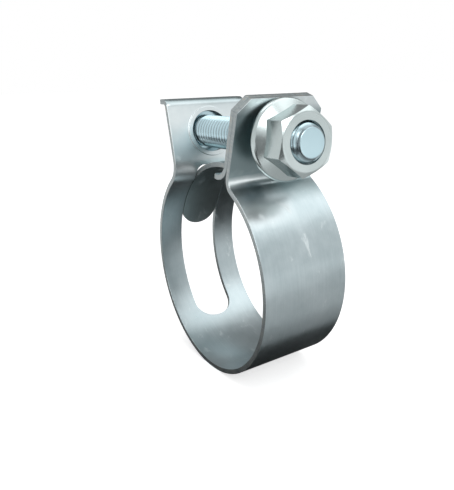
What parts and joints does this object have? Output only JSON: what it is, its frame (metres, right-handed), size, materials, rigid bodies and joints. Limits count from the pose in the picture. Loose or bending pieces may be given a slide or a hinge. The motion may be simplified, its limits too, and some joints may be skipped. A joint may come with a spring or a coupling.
{
  "type": "hose clamp",
  "caption": "Bolt-tightened round hose clamp: slotted steel strip loop with two leaning ears, a bridge plate across the gap, a hex bolt and a flange nut.",
  "frame": {"origin": "on the hose axis, at the middle of the strip's width", "axes": "+Y along the hose axis, away from the side the picture is taken from; +X along the bolt, from its head to the nut; +Z from the hose axis up to the bolt"},
  "size_m": [0.0529, 0.022, 0.0661],
  "materials": {
    "zinc_strip": "bright zinc plated strip, satin",
    "zinc_plate": "bright zinc plated strip, satin",
    "zinc_bolt": "bright zinc plated, blue passivated",
    "zinc_nut": "bright zinc plated, blue passivated"
  },
  "bodies": {
    "band": {"clamp_band": "zinc_strip", "bridge_plate": "zinc_plate"},
    "bolt": {"clamp_bolt": "zinc_bolt"},
    "nut": {"flange_nut": "zinc_nut"}
  },
  "joints": [
    {"name": "nut_spin", "type": "hinge", "parent": "band", "child": "nut", "pos_m": [0, 0, 0.03135], "axis": [1, 0, 0], "range_deg": [0, 2160]},
    {"name": "bolt_travel", "type": "slide", "parent": "band", "child": "bolt", "axis": [-1, 0, 0], "range_m": [0, 0.0075]}
  ],
  "couplings": [
    {"joint": "nut_spin", "follows": "bolt_travel", "rad_per_m": 5026.5}
  ]
}
